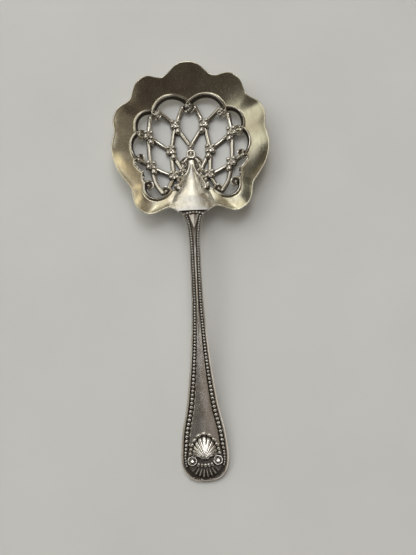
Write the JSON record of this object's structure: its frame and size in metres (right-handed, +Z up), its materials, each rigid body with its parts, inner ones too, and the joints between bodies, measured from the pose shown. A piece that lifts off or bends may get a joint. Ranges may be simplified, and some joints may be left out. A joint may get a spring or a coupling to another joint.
{
  "type": "bonbon spoon",
  "caption": "Bonbon spoon with a fluted, scalloped bowl, an openwork lattice of arches, scrolls and florets, and a beaded handle with a shell end, for serving sweets and nuts",
  "frame": {"origin": "on the table, under the middle of the spoon's length and width, with the spoon lying as it rests", "axes": "+Y from the handle's tip to the far lobe of the bowl, +X across, +Z up"},
  "size_m": [0.0492, 0.13, 0.0107],
  "materials": {
    "gilt_bowl": "silver with worn, pale gilding, polished and lightly scratched",
    "gilt_openwork": "silver with worn gilding, dark in the corners",
    "gilt_ornament": "cast silver, bright on top and oxidised in the recesses",
    "silver_handle": "polished silver with a soft warm tarnish",
    "silver_beads": "bright silver beads in oxidised grooves",
    "silver_shell": "cast silver, bright on top and oxidised in the recesses"
  },
  "bodies": {
    "root": {"bowl": "gilt_bowl", "openwork": "gilt_openwork", "handle": "silver_handle", "upper_floret_left": "gilt_ornament", "upper_floret_right": "gilt_ornament", "outer_floret_left": "gilt_ornament", "outer_floret_right": "gilt_ornament", "middle_floret_left": "gilt_ornament", "middle_floret_right": "gilt_ornament", "lower_floret_left": "gilt_ornament", "lower_floret_right": "gilt_ornament", "tongue_floret_left": "gilt_ornament", "tongue_floret_right": "gilt_ornament", "pendant": "gilt_ornament", "crown": "gilt_ornament", "arch_cluster_left": "gilt_ornament", "arch_cluster_right": "gilt_ornament", "leaf_left": "gilt_ornament", "leaf_right": "gilt_ornament", "bead_border_left": "silver_beads", "bead_border_right": "silver_beads", "neck_bead_row": "silver_beads", "fan_bead_row": "silver_beads", "shell": "silver_shell", "boss_left": "silver_shell", "boss_right": "silver_shell", "fan": "silver_shell"}
  },
  "joints": []
}
